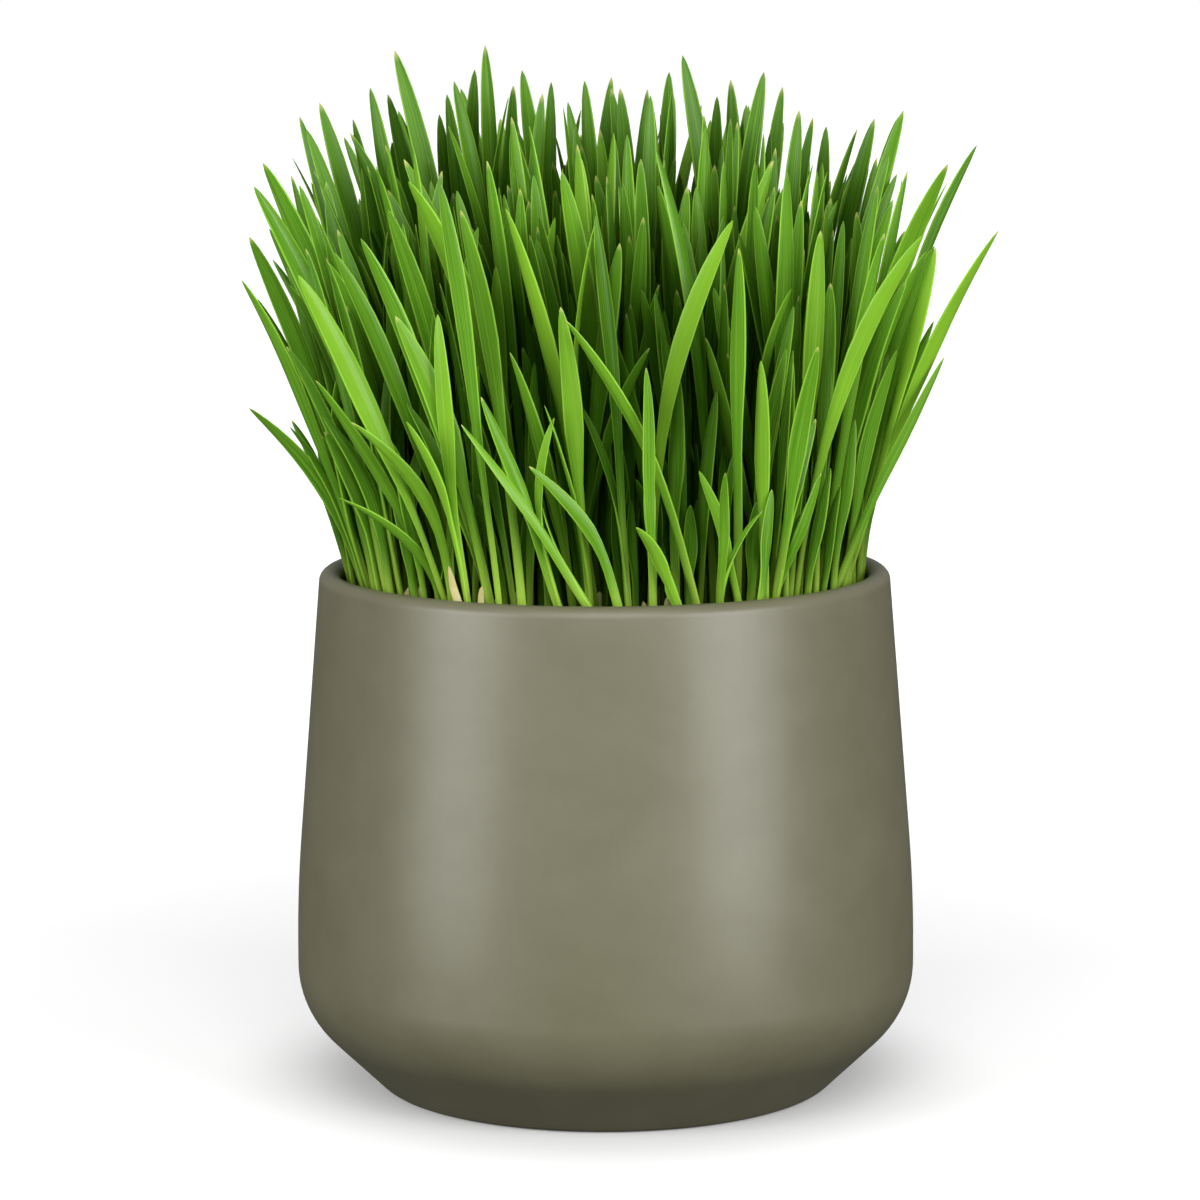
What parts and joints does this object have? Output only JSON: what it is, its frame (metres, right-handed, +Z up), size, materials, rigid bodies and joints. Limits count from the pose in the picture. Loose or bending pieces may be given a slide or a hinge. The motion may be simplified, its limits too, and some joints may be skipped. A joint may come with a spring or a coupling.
{
  "type": "potted cat grass",
  "caption": "Dense tuft of young barley grass growing in soil in a round matte ceramic pot with a chamfered foot and a rounded rim.",
  "frame": {"origin": "middle of the pot's flat base", "axes": "+Z up along the pot's axis, -Y towards the viewer of the picture, +X to the right"},
  "size_m": [0.1462, 0.1316, 0.2088],
  "materials": {
    "glazed_pot": "satin matte olive-grey glaze, fine grain",
    "potting_soil": "rough, crumbly, damp dark brown",
    "grass_leaf": "fresh leaf green with a slight sheen, paler and yellower at the foot"
  },
  "bodies": {
    "root": {"pot": "glazed_pot", "soil": "potting_soil", "tuft_01": "grass_leaf", "tuft_02": "grass_leaf", "tuft_03": "grass_leaf", "tuft_04": "grass_leaf", "tuft_05": "grass_leaf", "tuft_06": "grass_leaf", "tuft_07": "grass_leaf", "tuft_08": "grass_leaf", "tuft_09": "grass_leaf", "tuft_10": "grass_leaf", "tuft_11": "grass_leaf", "tuft_12": "grass_leaf", "tuft_13": "grass_leaf", "tuft_14": "grass_leaf", "tuft_15": "grass_leaf", "tuft_16": "grass_leaf", "tuft_17": "grass_leaf", "tuft_18": "grass_leaf", "tuft_19": "grass_leaf"}
  },
  "joints": []
}
